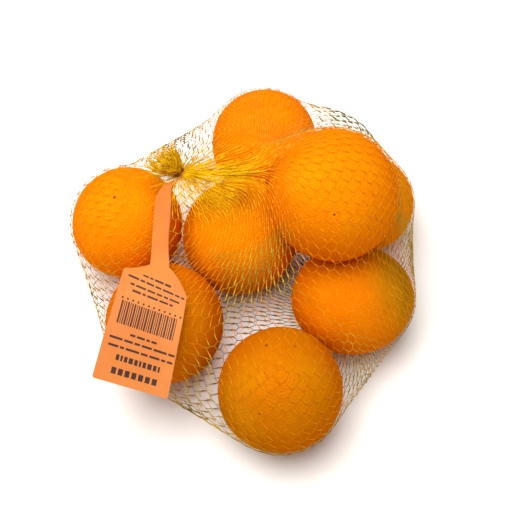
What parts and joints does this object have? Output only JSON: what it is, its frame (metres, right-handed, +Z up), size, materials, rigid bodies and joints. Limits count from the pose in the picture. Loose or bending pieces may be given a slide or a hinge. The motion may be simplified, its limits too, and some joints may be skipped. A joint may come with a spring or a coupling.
{
  "type": "net of oranges",
  "caption": "Knitted net bag of oranges, tied at one end, lying on its side in a low pile with a paper-like tag on a strap over the front.",
  "frame": {"origin": "middle of the box of the whole pack, on the surface that the fruit lies on", "axes": "+Z up out of the pile, +Y towards the tied side of the pack, +X to the right when the tag's free end points to the viewer"},
  "size_m": [0.1875, 0.2104, 0.1154],
  "materials": {
    "golden_net": "satin",
    "salmon_film": "satin",
    "dark_collar": "satin",
    "orange_peel": "satin",
    "tag_ink": "matte"
  },
  "bodies": {
    "root": {"net": "golden_net", "neck_collar": "dark_collar", "tag": "salmon_film"}
  },
  "joints": []
}
